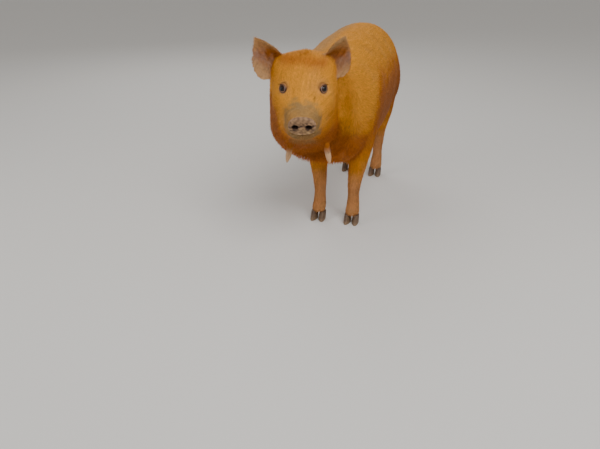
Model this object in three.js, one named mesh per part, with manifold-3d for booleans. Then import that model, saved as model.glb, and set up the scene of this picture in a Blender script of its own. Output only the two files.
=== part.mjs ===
// A young kunekune pig that stands with its head up and turned a little to its left, as one museum model.
// Millimetres, +Z up. The pig faces -Y and its left side is +X. The body is lofted whole, from the muzzle
// to the rump, and thin cuts then part it where a person would name its parts.

import * as THREE from 'three';
import { LoftGeometry } from 'three/addons/geometries/LoftGeometry.js';
import { mergeVertices } from 'three/addons/utils/BufferGeometryUtils.js';
import Module from 'manifold-3d';

const wasm = await Module();
wasm.setup();

// Driving dimensions
const EYE_RADIUS = 12.5;
const EYE_MIDDLE = [43, 1, -1]; // of the left eyeball, in the head's frame
const HEAD_TURN = 14; // degrees, to its left
const HEAD_DROOP = 11; // degrees, muzzle below level
const HEAD_PLACE = [-46, -193, 417]; // midway between the eyes
const SNOUT_PLACE = [0, -100, -43]; // behind the snout's disc, in the head's frame
const SNOUT_TILT = 8; // degrees that the disc faces down, from the head's own droop
const EAR_THICK = 6;
const CLAW_HEIGHT = 26;
const CLAW_LENGTH = 44;
const CLAW_WIDTH = 20;
const FORE_FEET = { left: 0, right: 0 }; // how far back each foot stands
const HIND_FEET = { left: 406, right: 428 };
const GAP = 0.3; // between pieces that meet
const HEAD_CUT = { at: [-66, -104, 400], facing: [-0.2, 1, 0] }; // planes that part the body
const NECK_CUT = { at: [-20, -20, 350], facing: [0.12, 1, 0] };
const CHEST_CUT = { at: [0, 112, 350], facing: [0, 1, 0] };
const BARREL_CUT = { at: [0, 318, 350], facing: [0, 1, 0] };
const MUZZLE_CUT = { at: [0, -60, 0], facing: [0, 1, 0.1] }; // in the head's frame
const JAW_BLOCK = { from: [-70, -130, -160], to: [70, -42, -72] }; // in the head's frame
const FORE_CUT_HEIGHT = 112; // where a leg's upper and lower parts meet
const HIND_CUT_HEIGHT = 134;
const LEG_CUT_FACING = [0, -0.1, 1];
const SIDES = { left: 1, right: -1 };
const BODY_SIDES = 32; // of a ring of the body
const LEG_SIDES = 12;

// Colours of the coat, the bare skin and the horn
const COAT = new THREE.Color(0.62, 0.27, 0.07);
const BARE_SKIN = new THREE.Color(0.45, 0.29, 0.23);
const PALE_SKIN = new THREE.Color(0.78, 0.55, 0.44);
const HORN = new THREE.Color(0.22, 0.16, 0.12);
const EYE = new THREE.Color(0.06, 0.035, 0.03);

// Frames that rings are set out in. In the head's frame the origin is midway between the eyes and y runs
// back along the head. In the muzzle's it is behind the snout's disc. In the level frame a ring lies flat,
// its up is forward and its down is back.
const bodyFrame = new THREE.Matrix4();
const headFrame = new THREE.Matrix4()
  .makeRotationFromEuler(
    new THREE.Euler(THREE.MathUtils.degToRad(HEAD_DROOP), 0, THREE.MathUtils.degToRad(HEAD_TURN), 'ZYX'),
  )
  .setPosition(...HEAD_PLACE);
const levelFrame = new THREE.Matrix4().makeBasis(
  new THREE.Vector3(1, 0, 0),
  new THREE.Vector3(0, 0, 1),
  new THREE.Vector3(0, -1, 0),
);
const muzzleFrame = headFrame
  .clone()
  .multiply(new THREE.Matrix4().makeRotationX(THREE.MathUtils.degToRad(SNOUT_TILT)).setPosition(...SNOUT_PLACE));
const worldToHead = headFrame.clone().invert();
const fromHead = (x, y, z) => new THREE.Vector3(x, y, z).applyMatrix4(headFrame);

// Solids, and lofts with their rings turned so that the walls face out

function solidOf(geometry) {
  const plain = new THREE.BufferGeometry().setAttribute('position', geometry.getAttribute('position'));
  plain.setIndex(geometry.getIndex());
  const merged = mergeVertices(plain, 1e-3);
  return new wasm.Manifold(
    new wasm.Mesh({
      numProp: 3,
      vertProperties: merged.getAttribute('position').array,
      triVerts: new Uint32Array(merged.getIndex().array),
    }),
  );
}

function geometryOf(solid) {
  const { vertProperties, triVerts } = solid.getMesh();
  const geometry = new THREE.BufferGeometry();
  geometry.setAttribute('position', new THREE.BufferAttribute(vertProperties, 3));
  geometry.setIndex(new THREE.BufferAttribute(triVerts, 1));
  return geometry;
}

function centreOf(ring) {
  return ring.reduce((sum, point) => sum.add(point), new THREE.Vector3()).divideScalar(ring.length);
}

// A ring of points from the cosine and sine of the angle round it
function ringOf(sides, pointAt) {
  return Array.from({ length: sides }, (_, i) => {
    const angle = (i / sides) * Math.PI * 2;
    return pointAt(Math.cos(angle), Math.sin(angle));
  });
}

function loft(rings) {
  const first = rings[0];
  const normal = new THREE.Vector3();
  first.forEach((point, i) => normal.add(point.clone().cross(first[(i + 1) % first.length])));
  const forward = centreOf(rings[1]).sub(centreOf(first));
  const turned = normal.dot(forward) < 0 ? rings.map((ring) => [...ring].reverse()) : rings;
  return solidOf(new LoftGeometry(turned, { capStart: true, capEnd: true }));
}

// A loft through rings between named stations, whose numbers run smoothly from one into the next. A station
// has its frame, its middle, its reach to each side, up and down, its roundness above and below (2 for an
// ellipse, more for a squarer ring) and the step to the next ring. grow moves the whole surface out.
const FIELDS = ['side', 'up', 'down', 'above', 'below', 'step'];
const DEFAULTS = { above: 2, below: 2, step: 12, frame: bodyFrame };

function stationLoft(stations, sides, grow = 0, reshape = (point) => point) {
  const along = [];
  const values = [];
  let before = null;
  for (const station of stations) {
    const s = { ...DEFAULTS, ...station };
    const middle = new THREE.Vector3(...s.middle).applyMatrix4(s.frame);
    const left = new THREE.Vector3().setFromMatrixColumn(s.frame, 0);
    const top = new THREE.Vector3().setFromMatrixColumn(s.frame, 2);
    top.applyAxisAngle(left, THREE.MathUtils.degToRad(s.lean ?? 0));
    values.push(...middle, ...left, ...top, ...FIELDS.map((name) => s[name]));
    along.push(before ? along.at(-1) + middle.distanceTo(before) : 0);
    before = middle;
  }
  const size = values.length / stations.length;
  const between = new THREE.CubicInterpolant(along, values, size);
  const length = along.at(-1);
  const rings = [];
  for (let t = 0; t < length; ) {
    const sample = Array.from(between.evaluate(t));
    rings.push(ringAt(sample, sides, grow, reshape));
    t += sample[size - 1];
    t = length - t < sample[size - 1] / 2 ? length : t;
  }
  rings.push(ringAt(Array.from(between.evaluate(length)), sides, grow, reshape));
  return loft(rings);
}

function ringAt(sample, sides, grow, reshape) {
  const [middle, left, top] = [0, 3, 6].map((at) => new THREE.Vector3(...sample.slice(at, at + 3)));
  const [side, up, down, above, below] = sample.slice(9);
  left.normalize();
  top.normalize();
  return ringOf(sides, (across, rise) => {
    const power = 2 / (rise > 0 ? above : below);
    const reach = (rise > 0 ? up : down) + grow;
    const point = middle
      .clone()
      .addScaledVector(left, signedPower(across, power) * (side + grow))
      .addScaledVector(top, signedPower(rise, power) * reach);
    return reshape(point, middle);
  });
}

function signedPower(value, power) {
  return Math.sign(value) * Math.abs(value) ** power;
}

// Body

const bodyStations = [
  { frame: muzzleFrame, middle: [0, 0, 0], side: 31, up: 22, down: 23, above: 2.3, below: 2.3, step: 10 },
  { frame: headFrame, middle: [0, -90, -43], side: 35, up: 26, down: 40, above: 2.3, below: 2.3, step: 12, lean: 6 },
  { frame: headFrame, middle: [0, -75, -44], side: 41, up: 30, down: 53, above: 2.3, below: 2.4, step: 12, lean: 4 },
  { frame: headFrame, middle: [0, -52, -45], side: 47, up: 37, down: 60, above: 2.2, below: 2.4, step: 13 },
  { frame: headFrame, middle: [0, -25, -46], side: 60, up: 52, down: 75, above: 2.2, below: 2.6, step: 13 },
  { frame: headFrame, middle: [0, 0, -48], side: 70, up: 68, down: 94, above: 2.2, below: 2.7, step: 14 },
  { frame: headFrame, middle: [0, 30, -50], side: 77, up: 92, down: 117, above: 2.3, below: 2.8, step: 15 },
  { frame: headFrame, middle: [0, 60, -50], side: 81, up: 111, down: 148, above: 2.4, below: 3, step: 17 },
  { frame: headFrame, middle: [-1, 86, -46], side: 89, up: 109, down: 176, above: 2.5, below: 3.5, step: 20 },
  { middle: [-38, -68, 345], side: 109, up: 141, down: 150, above: 2.3, below: 3.2, step: 22 },
  { middle: [-18, -26, 347], side: 114, up: 144, down: 163, above: 2.3, below: 2.6, step: 26 },
  { middle: [-9, 20, 348], side: 112, up: 150, down: 177, above: 2.3, below: 2.2, step: 32 },
  { middle: [-6, 100, 348], side: 118, up: 160, down: 168, above: 2.3, below: 2.2, step: 34 },
  { middle: [-7, 190, 346], side: 121, up: 164, down: 168, above: 2.2, below: 2.2, step: 34 },
  { middle: [-8, 290, 346], side: 121, up: 166, down: 162, above: 2.2, below: 2.1, step: 34 },
  { middle: [-8, 380, 352], side: 114, up: 154, down: 148, above: 2.1, step: 30 },
  { middle: [-7, 445, 362], side: 103, up: 124, down: 130, above: 2.1, step: 24 },
  { middle: [-6, 490, 366], side: 80, up: 89, down: 96, step: 15 },
  { middle: [-6, 513, 368], side: 48, up: 54, down: 60, step: 10 },
  { middle: [-6, 521, 369], side: 18, up: 22, down: 24, step: 10 },
];

// Muscle, bone and hollows that the plain rings lack: a place, its reach each way, and how far the surface
// moves out there. Each one is on both sides.
const headSwells = [
  { at: [44, -10, 26], reach: [36, 36, 30], out: 5 }, // brow
  { at: [58, 0, -34], reach: [40, 46, 44], out: 6 }, // cheekbone
  { at: [68, 40, -132], reach: [60, 70, 64], out: 14 }, // jowl
  { at: [60, 68, 34], reach: [36, 36, 48], out: 12 }, // root of the ear
  { at: [0, -42, -5], reach: [34, 50, 40], out: -4 }, // dish of the face
];
const bodySwells = [
  { at: [92, 25, 330], reach: [70, 84, 130], out: 12 }, // shoulder
  { at: [92, 404, 300], reach: [70, 92, 120], out: 15 }, // ham
  { at: [100, 318, 250], reach: [60, 46, 70], out: -7 }, // flank
  { at: [100, 112, 250], reach: [60, 40, 80], out: -6 }, // behind the elbow
];

function swellAt(point, swells) {
  let move = 0;
  for (const { at, reach, out } of swells) {
    for (const side of at[0] === 0 ? [1] : Object.values(SIDES)) {
      const away = Math.hypot(
        (point.x - side * at[0]) / reach[0],
        (point.y - at[1]) / reach[1],
        (point.z - at[2]) / reach[2],
      );
      move += away < 1 ? out * (1 - away ** 2) ** 2 : 0;
    }
  }
  return move;
}

function addSwells(point, middle) {
  const move = swellAt(point.clone().applyMatrix4(worldToHead), headSwells) + swellAt(point, bodySwells);
  return point.clone().addScaledVector(point.clone().sub(middle).normalize(), move);
}

const bodySolid = (grow = 0) => stationLoft(bodyStations, BODY_SIDES, grow, addSwells);

// Legs

const legStation = ([x, y, z], side, front, back, step = 12) => ({
  frame: levelFrame,
  middle: [x, z, -y],
  side,
  up: front,
  down: back,
  step,
});

const foreleg = (side, foot) => [
  legStation([side * 60, 16, 290], 46, 62, 60, 26),
  legStation([side * 61, 13, 240], 40, 48, 51, 20),
  legStation([side * 59, 8, 195], 31, 35, 37, 16),
  legStation([side * 54, foot + 5, 150], 24, 26, 29, 16),
  legStation([side * 50, foot + 2, 115], 20, 23, 23, 14),
  legStation([side * 49, foot + 2, 84], 17, 18, 19, 13),
  legStation([side * 49, foot, 58], 18.5, 17, 21, 9),
  legStation([side * 49, foot - 5, 40], 20, 19, 21, 7),
  legStation([side * 49, foot - 10, CLAW_HEIGHT + GAP], 20, 19, 19, 7),
];

const hindleg = (side, foot) => [
  legStation([side * 58 - 4, 396, 330], 50, 66, 72, 28),
  legStation([side * 60 - 3, 396, 275], 46, 66, 66, 22),
  legStation([side * 58, foot - 4, 220], 36, 50, 50, 18),
  legStation([side * 54, foot + 14, 172], 25, 33, 31, 15),
  legStation([side * 51, foot + 28, 134], 19, 24, 24, 11),
  legStation([side * 50, foot + 22, 102], 17.5, 19, 20, 12),
  legStation([side * 50, foot + 12, 74], 17, 17, 18, 11),
  legStation([side * 50, foot + 5, 54], 19, 17, 21, 8),
  legStation([side * 50, foot - 4, 38], 20, 19, 20, 7),
  legStation([side * 50, foot - 9, CLAW_HEIGHT + GAP], 20, 19, 19, 7),
];

// A claw is a wedge of horn with a flat sole and a toe that slopes forward. Its inner side is flatter than
// its outer side, and the sole's edge is rounded off.
function claw(x, y, outward) {
  const levels = [
    { z: 0, length: CLAW_LENGTH - 2, width: CLAW_WIDTH - 1 },
    { z: 2, length: CLAW_LENGTH, width: CLAW_WIDTH },
    { z: 14, length: CLAW_LENGTH * 0.86, width: CLAW_WIDTH },
    { z: CLAW_HEIGHT, length: CLAW_LENGTH * 0.72, width: CLAW_WIDTH * 0.95 },
  ];
  const setBack = 8; // of the top behind the sole
  const splay = 3; // of the toe
  const rings = levels.map(({ z, length, width }) =>
    ringOf(10, (across, back) => {
      const reach = back < 0 ? 0.6 : 0.4;
      const bulge = across * outward > 0 ? 0.54 : 0.46;
      const spread = back < 0 ? outward * back * back * splay : 0;
      const rise = z / CLAW_HEIGHT;
      return new THREE.Vector3(x + across * width * bulge + spread, y + back * length * reach + setBack * rise, z);
    }),
  );
  return loft(rings);
}

function dewclaw(x, y, z) {
  const levels = [
    { back: 0, drop: 0, radius: 6 },
    { back: 5, drop: 10, radius: 5 },
    { back: 8, drop: 16, radius: 2.5 },
  ];
  const rings = levels.map(({ back, drop, radius }) =>
    ringOf(7, (c, s) => new THREE.Vector3(x + c * radius, y + back + s * radius, z - drop)),
  );
  return loft(rings);
}

// An ear is a cupped leaf between two edges that meet at its tip. The points are in the head's frame, for
// the left side. The right ear spreads wider and the left one stands more upright.
const earEdges = {
  left: {
    upper: [[44, 72, 46], [57, 62, 72], [74, 56, 93], [96, 53, 110]],
    outer: [[62, 80, -4], [88, 66, -4], [110, 60, 14], [116, 56, 44], [110, 55, 80], [98, 53, 108]],
  },
  right: {
    upper: [[46, 72, 44], [60, 62, 70], [86, 54, 93], [116, 50, 107]],
    outer: [[70, 80, -8], [96, 66, -11], [118, 58, 4], [127, 54, 34], [125, 52, 66], [118, 50, 104]],
  },
};
const EAR_CUP = 30; // how deep the hollow is at the root

function ear(sideName) {
  const side = SIDES[sideName];
  const edge = (points) => new THREE.CatmullRomCurve3(points.map(([x, y, z]) => fromHead(side * x, y, z)));
  const upper = edge(earEdges[sideName].upper);
  const outer = edge(earEdges[sideName].outer);
  const back = new THREE.Vector3(-0.3 * side, 1, -0.1).transformDirection(headFrame);
  const [steps, half] = [9, 6];
  const rings = [];
  for (let k = 0; k <= steps; k++) {
    const s = (k / steps) * 0.98;
    const [from, to] = [upper.getPointAt(s), outer.getPointAt(s)];
    const cup = EAR_CUP * (1 - s) ** 0.8;
    const thick = EAR_THICK * (1 - 0.5 * s);
    const across = (t, depth) => from.clone().lerp(to, t).addScaledVector(back, depth);
    const ring = [];
    for (let i = 0; i <= half; i++) {
      const t = i / half;
      ring.push(across(t, cup * 4 * t * (1 - t)));
    }
    for (let i = half; i >= 0; i--) {
      const t = i / half;
      ring.push(across(t, cup * 4 * t * (1 - t) + thick * (0.35 + 2.6 * t * (1 - t))));
    }
    rings.push(ring);
  }
  return loft(rings);
}

// A round bar of changing thickness along a smooth line, for the wattles, the tail and the nostrils
function taperedBar(points, radii, sides, steps) {
  const path = new THREE.CatmullRomCurve3(points);
  const frames = path.computeFrenetFrames(steps, false);
  const places = radii.map((_, i) => i / (radii.length - 1));
  const thickness = new THREE.CubicInterpolant(places, radii, 1);
  const rings = frames.normals.map((normal, i) => {
    const middle = path.getPointAt(i / steps);
    const radius = thickness.evaluate(i / steps)[0];
    return ringOf(sides, (c, s) =>
      middle
        .clone()
        .addScaledVector(normal, c * radius)
        .addScaledVector(frames.binormals[i], s * radius),
    );
  });
  return loft(rings);
}

// The snout's disc, with its two nostrils
function snoutDisc() {
  const fromMuzzle = (x, y, z) => new THREE.Vector3(x, y, z).applyMatrix4(muzzleFrame);
  const levels = [
    { y: -GAP, side: 29, up: 20 },
    { y: -4, side: 32.5, up: 23 },
    { y: -9, side: 32.5, up: 23 },
    { y: -12.5, side: 28, up: 19 },
  ];
  const roundness = 2 / 2.4;
  const rings = levels.map(({ y, side, up }) =>
    ringOf(20, (c, s) => fromMuzzle(signedPower(c, roundness) * side, y, signedPower(s, roundness) * up)),
  );
  let disc = loft(rings);
  for (const side of Object.values(SIDES)) {
    const nostril = [fromMuzzle(side * 15, -3, -2), fromMuzzle(side * 16.5, -15, 0)];
    disc = disc.subtract(taperedBar(nostril, [3, 7], 8, 1));
  }
  return disc;
}

function eyeball(side, radius) {
  const [x, y, z] = EYE_MIDDLE;
  const ball = new THREE.SphereGeometry(radius, 10, 8).translate(...fromHead(side * x, y, z));
  return solidOf(ball);
}

// The opening between the lids, as long as the eye and less high
function lidOpening(side) {
  const [x, y, z] = EYE_MIDDLE;
  const shape = new THREE.SphereGeometry(1, 10, 7).scale(12, 12, 8);
  shape.rotateZ(side * THREE.MathUtils.degToRad(52));
  shape.applyMatrix4(headFrame.clone().setPosition(fromHead(side * (x + 8), y - 7, z)));
  return solidOf(shape);
}

// Boxes that cut: one holds all that lies beyond a plane, the other a block in the head's frame
const FAR = 2000;

function beyond(point, normal) {
  const turn = new THREE.Quaternion().setFromUnitVectors(new THREE.Vector3(0, 1, 0), normal.clone().normalize());
  const box = new THREE.BoxGeometry(FAR, FAR, FAR).translate(0, FAR / 2, 0);
  return solidOf(box.applyQuaternion(turn).translate(...point));
}

function headBlock({ from: [x0, y0, z0], to: [x1, y1, z1] }, grow = 0) {
  const box = new THREE.BoxGeometry(x1 - x0 + 2 * grow, y1 - y0 + 2 * grow, z1 - z0 + 2 * grow);
  box.translate((x0 + x1) / 2, (y0 + y1) / 2, (z0 + z1) / 2);
  return solidOf(box.applyMatrix4(headFrame));
}

// A solid cut in two by a plane that is set out in a frame, with the gap between the pieces
function parted(solid, { at, facing }, frame = bodyFrame) {
  const point = new THREE.Vector3(...at).applyMatrix4(frame);
  const n = new THREE.Vector3(...facing).transformDirection(frame);
  const front = beyond(point.clone().addScaledVector(n, -GAP / 2), n);
  const rear = beyond(point.clone().addScaledVector(n, GAP / 2), n);
  return [solid.subtract(front), solid.intersect(rear)];
}

// Assembly

const pig = new THREE.Group();

function place(name, solid, colour, roughness = 0.8) {
  const mesh = new THREE.Mesh(geometryOf(solid), new THREE.MeshStandardMaterial({ color: colour, roughness }));
  mesh.name = name;
  pig.add(mesh);
}

const bodyGrown = bodySolid(GAP);
const [headWhole, behindHead] = parted(bodySolid(), HEAD_CUT);
const [neck, trunk] = parted(behindHead, NECK_CUT);
const [chest, behindChest] = parted(trunk, CHEST_CUT);
const [barrel, rump] = parted(behindChest, BARREL_CUT);

const lowerJaw = headWhole.intersect(headBlock(JAW_BLOCK));
const [muzzle, skull] = parted(headWhole.subtract(headBlock(JAW_BLOCK, GAP)), MUZZLE_CUT, headFrame);
let head = skull;
for (const side of Object.values(SIDES)) {
  head = head.subtract(eyeball(side, EYE_RADIUS + GAP)).subtract(lidOpening(side));
}
place('head', head, COAT);
place('muzzle', muzzle, BARE_SKIN);
place('lower_jaw', lowerJaw, BARE_SKIN);
place('snout_disc', snoutDisc(), BARE_SKIN, 0.5);
place('neck', neck, COAT);
place('chest', chest, COAT);
place('barrel', barrel, COAT);
place('rump', rump, COAT);

const tailLine = [[-6, 496, 438], [-6, 522, 430], [-3, 540, 398], [2, 543, 358], [0, 538, 325], [-5, 536, 300]];
const tailRadii = [15, 10.5, 8, 7.5, 9, 9, 4];
const tail = taperedBar(tailLine.map((p) => new THREE.Vector3(...p)), tailRadii, 8, 10);
place('tail', tail.subtract(bodyGrown), COAT);

for (const [sideName, side] of Object.entries(SIDES)) {
  place(`ear_${sideName}`, ear(sideName).subtract(bodyGrown), PALE_SKIN);
  place(`eye_${sideName}`, eyeball(side, EYE_RADIUS), EYE, 0.1);

  const root = fromHead(side * 46 + 12, 20, -168);
  const wattleLine = [[-1, 2, 22], [2, 0, -6], [6, 0, -24], [10, -1, -44]];
  const points = wattleLine.map(([x, y, z]) => root.clone().add(new THREE.Vector3(side * x, y, z)));
  place(`wattle_${sideName}`, taperedBar(points, [6.5, 7, 8, 7.5, 2.5], 8, 8).subtract(bodyGrown), PALE_SKIN);

  for (const [legName, stations, foot, cutHeight] of [
    [`foreleg_${sideName}`, foreleg, FORE_FEET[sideName], FORE_CUT_HEIGHT],
    [`hindleg_${sideName}`, hindleg, HIND_FEET[sideName], HIND_CUT_HEIGHT],
  ]) {
    const leg = stationLoft(stations(side, foot), LEG_SIDES).subtract(bodyGrown);
    const legGrown = stationLoft(stations(side, foot), LEG_SIDES, GAP);
    const [lower, upper] = parted(leg, { at: [0, foot, cutHeight], facing: LEG_CUT_FACING });
    place(`${legName}_upper`, upper, COAT);
    place(`${legName}_lower`, lower, COAT);
    for (const [toeName, outward] of [['inner', -side], ['outer', side]]) {
      const x = side * 49 + outward * (CLAW_WIDTH / 2 + 0.8);
      place(`${legName}_claw_${toeName}`, claw(x, foot - 15, outward), HORN, 0.5);
      const spur = dewclaw(side * 49 + outward * 11, foot + 11, 46).subtract(legGrown);
      place(`${legName}_dewclaw_${toeName}`, spur, HORN, 0.5);
    }
  }
}

const box = new THREE.Box3().setFromObject(pig, true);
const middle = box.getCenter(new THREE.Vector3());
pig.position.set(-middle.x, -middle.y, -box.min.z);

export default pig;
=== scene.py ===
import math
from collections import namedtuple

import bmesh
import bpy
import numpy as np
from mathutils import Matrix, Vector
from mathutils.kdtree import KDTree


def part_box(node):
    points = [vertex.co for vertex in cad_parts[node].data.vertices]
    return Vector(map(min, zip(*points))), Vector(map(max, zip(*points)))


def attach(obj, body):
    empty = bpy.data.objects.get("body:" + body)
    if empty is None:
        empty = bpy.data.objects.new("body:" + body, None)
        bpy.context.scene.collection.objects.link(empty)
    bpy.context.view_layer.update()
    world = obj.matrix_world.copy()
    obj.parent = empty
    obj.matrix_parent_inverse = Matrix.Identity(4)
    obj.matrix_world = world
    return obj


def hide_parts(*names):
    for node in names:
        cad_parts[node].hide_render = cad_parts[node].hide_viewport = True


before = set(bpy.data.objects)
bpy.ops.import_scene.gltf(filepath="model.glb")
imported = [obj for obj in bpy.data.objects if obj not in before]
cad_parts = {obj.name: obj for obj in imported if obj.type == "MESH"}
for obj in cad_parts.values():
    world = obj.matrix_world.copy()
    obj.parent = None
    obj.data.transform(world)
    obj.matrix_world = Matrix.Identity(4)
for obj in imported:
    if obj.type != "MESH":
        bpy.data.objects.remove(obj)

bl_info = {
    "name": "Kunekune Pig",
    "version": (1, 0, 0),
    "blender": (4, 5, 0),
    "location": "View3D > Sidebar > Pig",
    "description": "Gives the frame of a young ginger kunekune pig its skin, coat, eyes and claws",
    "category": "Add Mesh",
}

# Sizes of the sculpture are in millimetres, in the head's or the snout's frame, and MM makes them metres.
MM = 0.001
SIDES = {"left": 1, "right": -1}
LEGS = [f"{pair}_{side}" for pair in ("foreleg", "hindleg") for side in SIDES]
CLAWS = [
    f"{leg}_{kind}_{toe}"
    for leg in LEGS
    for kind in ("claw", "dewclaw")
    for toe in ("inner", "outer")
]
FINE_FLESH = ["snout_disc", "tail", "ear_left", "ear_right", "wattle_left", "wattle_right"]
FLESH = [n for n in sorted(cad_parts) if n not in CLAWS and not n.startswith("eye_")]
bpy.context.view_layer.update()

# The head's frame has its origin midway between the eyes, x to the pig's left, y back and z up.
HEAD_TURN = math.radians(14)
HEAD_DROOP = math.radians(11)
HEAD_AXES = np.array(Matrix.Rotation(HEAD_TURN, 3, "Z") @ Matrix.Rotation(HEAD_DROOP, 3, "X"))
EYE_MIDDLE = np.array([43.0, 1.0, -1.0])
EYE_RADIUS = 12.4
CORNEA_HEIGHT = 1.3  # over the eyeball
CORNEA_REACH = 0.60  # from its middle to its edge, in radians
GAZE = np.array([0.66, -0.70, 0.24])  # the way that the lids' opening faces, on the left
LOOK = np.array([0.74, -0.62, 0.22])  # the way that the eye itself looks
OPENING_WIDTH = 10.8  # half the length of the opening between the lids
OPENING_HEIGHTS = (9.4, 7.8)  # from its middle up to the upper lid and down to the lower one
SNOUT_PLACE = np.array([0.0, -100.0, -43.0])
SNOUT_TILT = math.radians(8)
SNOUT_AXES = np.array(Matrix.Rotation(SNOUT_TILT, 3, "X"))


def middle_of(node):
    """The middle of a CAD node's box, in metres."""
    low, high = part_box(node)
    return np.array((low + high) / 2)


EYES_MIDDLE = (middle_of("eye_left") + middle_of("eye_right")) / 2
HEAD_ORIGIN = EYES_MIDDLE - HEAD_AXES @ (EYE_MIDDLE * [0, 1, 1]) * MM
BODY_LINE = middle_of("barrel")
TAIL_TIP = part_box("tail")[0][2]  # its height


def to_head(points):
    """Points of the pig as millimetres in the head's frame."""
    return (points - HEAD_ORIGIN) @ HEAD_AXES / MM


def from_head(points):
    """Millimetres in the head's frame as points of the pig."""
    return (points * MM) @ HEAD_AXES.T + HEAD_ORIGIN


def to_snout(head_points):
    """Head points in the frame of the snout's disc, whose y runs back from the disc's rear edge."""
    return (head_points - SNOUT_PLACE) @ SNOUT_AXES


def from_snout(snout_points):
    """Points of the snout's frame in the head's frame."""
    return snout_points @ SNOUT_AXES.T + SNOUT_PLACE


def to_body(points):
    """Points of the pig as millimetres from the line on the floor under its middle."""
    return (points - BODY_LINE * [1, 0, 0]) / MM


def fade(value, start, end):
    """0 at start and 1 at end, smooth between them."""
    t = np.clip((value - start) / (end - start), 0, 1)
    return t * t * (3 - 2 * t)


def bell(distance, width):
    """1 at no distance, falling away over width on both sides."""
    return np.exp(-((distance / width) ** 2))


def unit(vectors):
    """The vectors at length 1."""
    return vectors / np.maximum(np.linalg.norm(vectors, axis=-1, keepdims=True), 1e-9)


def look_of(side):
    """The way that an eye looks, as a way of the pig."""
    return HEAD_AXES @ unit(LOOK * [SIDES[side], 1, 1])


def ripple(points, wavelength, seed):
    """Smooth random waves between about -1 and 1 through space."""
    random = np.random.default_rng(seed)
    total = np.zeros(len(points))
    waves = 9
    usual_peak = 1.6  # of the sum of the waves, beside its spread
    for _ in range(waves):
        way = unit(random.normal(size=3)) / wavelength * random.uniform(0.6, 1.7)
        total += np.sin(points @ way * math.tau + random.uniform(0, math.tau))
    return total / math.sqrt(waves / 2) / usual_peak


# Meshes as arrays


def points_of(mesh):
    """A mesh's vertices as an array."""
    return read(mesh.vertices, "co", 3).astype(float)


def read(items, attribute, width, kind=np.float32):
    """An attribute of a mesh's items as an array with a row for each item."""
    values = np.zeros(len(items) * width, kind)
    items.foreach_get(attribute, values)
    return values.reshape(-1, width)


def move_points(mesh, points):
    """Gives a mesh's vertices new places."""
    mesh.vertices.foreach_set("co", points.astype(np.float32).ravel())
    mesh.update()


def normals_of(mesh):
    """The smooth normal at each vertex."""
    return read(mesh.vertex_normals, "vector", 3).astype(float)


def edges_of(mesh):
    """The two vertices of each edge."""
    return read(mesh.edges, "vertices", 2, np.int32)


def spread(values, edges, rounds, share=0.5, weight=None):
    """Evens out values over neighbouring vertices, as often as rounds says."""
    values = values.reshape(len(values), -1)
    a, b = edges.T
    size = len(values)
    neighbours = np.maximum(np.bincount(edges.ravel(), minlength=size), 1)[:, None]
    pull = share if weight is None else share * weight[:, None]
    for _ in range(rounds):
        columns = [np.bincount(a, v[b], size) + np.bincount(b, v[a], size) for v in values.T]
        values = values + pull * (np.stack(columns, 1) / neighbours - values)
    return values.squeeze()


def relaxed(mesh, rounds, weight=None):
    """Smooths a mesh's shape."""
    move_points(mesh, spread(points_of(mesh), edges_of(mesh), rounds, weight=weight))
    return mesh


def remeshed(bm, voxel):
    """The outer surface of a bmesh's overlapping bodies, as one even mesh of squares."""
    mesh = bpy.data.meshes.new("work")
    bm.to_mesh(mesh)
    bm.free()
    work = bpy.data.objects.new("work", mesh)
    bpy.context.scene.collection.objects.link(work)
    voxels = work.modifiers.new("voxels", "REMESH")
    voxels.mode = "VOXEL"
    voxels.voxel_size = voxel
    graph = bpy.context.evaluated_depsgraph_get()
    made = bpy.data.meshes.new_from_object(work.evaluated_get(graph))
    bpy.data.objects.remove(work)
    bpy.data.meshes.remove(mesh)
    return largest_body(made)


def largest_body(mesh):
    """Removes all but the largest connected body of a mesh."""
    edges = edges_of(mesh)
    label = np.arange(len(mesh.vertices))
    while True:
        low = np.minimum(label[edges[:, 0]], label[edges[:, 1]])
        before = label.copy()
        np.minimum.at(label, edges[:, 0], low)
        np.minimum.at(label, edges[:, 1], low)
        label = label[label]
        if np.array_equal(before, label):
            break
    counts = np.bincount(label)
    lost = np.flatnonzero(label != counts.argmax())
    if len(lost):
        bm = bmesh.new()
        bm.from_mesh(mesh)
        bm.verts.ensure_lookup_table()
        bmesh.ops.delete(bm, geom=[bm.verts[i] for i in lost], context="VERTS")
        bm.to_mesh(mesh)
        bm.free()
    return mesh


def flesh_of(names, grow):
    """A bmesh of CAD nodes, each grown by the same amount so that neighbours overlap."""
    bm = bmesh.new()
    for name in names:
        bm.from_mesh(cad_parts[name].data)
    bmesh.ops.remove_doubles(bm, verts=bm.verts, dist=0.01 * MM)
    bm.normal_update()
    moves = [(v, v.normal * grow) for v in bm.verts]
    for v, move in moves:
        v.co += move
    return bm


def refined(mesh, chosen):
    """Halves the edges whose two ends are chosen."""
    bm = bmesh.new()
    bm.from_mesh(mesh)
    bm.verts.ensure_lookup_table()
    cut = [e for e in bm.edges if chosen[e.verts[0].index] and chosen[e.verts[1].index]]
    bmesh.ops.subdivide_edges(bm, edges=cut, cuts=1, use_grid_fill=True)
    bmesh.ops.triangulate(bm, faces=[f for f in bm.faces if len(f.verts) > 4])
    bm.to_mesh(mesh)
    bm.free()
    return mesh


def add_piece(name, mesh, material, replaces=()):
    """Adds a piece that rides with the pig, takes its finish from a slot and stands for CAD nodes."""
    piece = bpy.data.objects.new(name, mesh)
    bpy.context.scene.collection.objects.link(piece)
    mesh.materials.clear()
    mesh.materials.append(material)
    mesh.shade_smooth()
    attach(piece, "root")
    if replaces:
        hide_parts(*replaces)
    return piece


# Regions of the skin. Each CAD node belongs to one, and coat and colour follow them.

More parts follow.
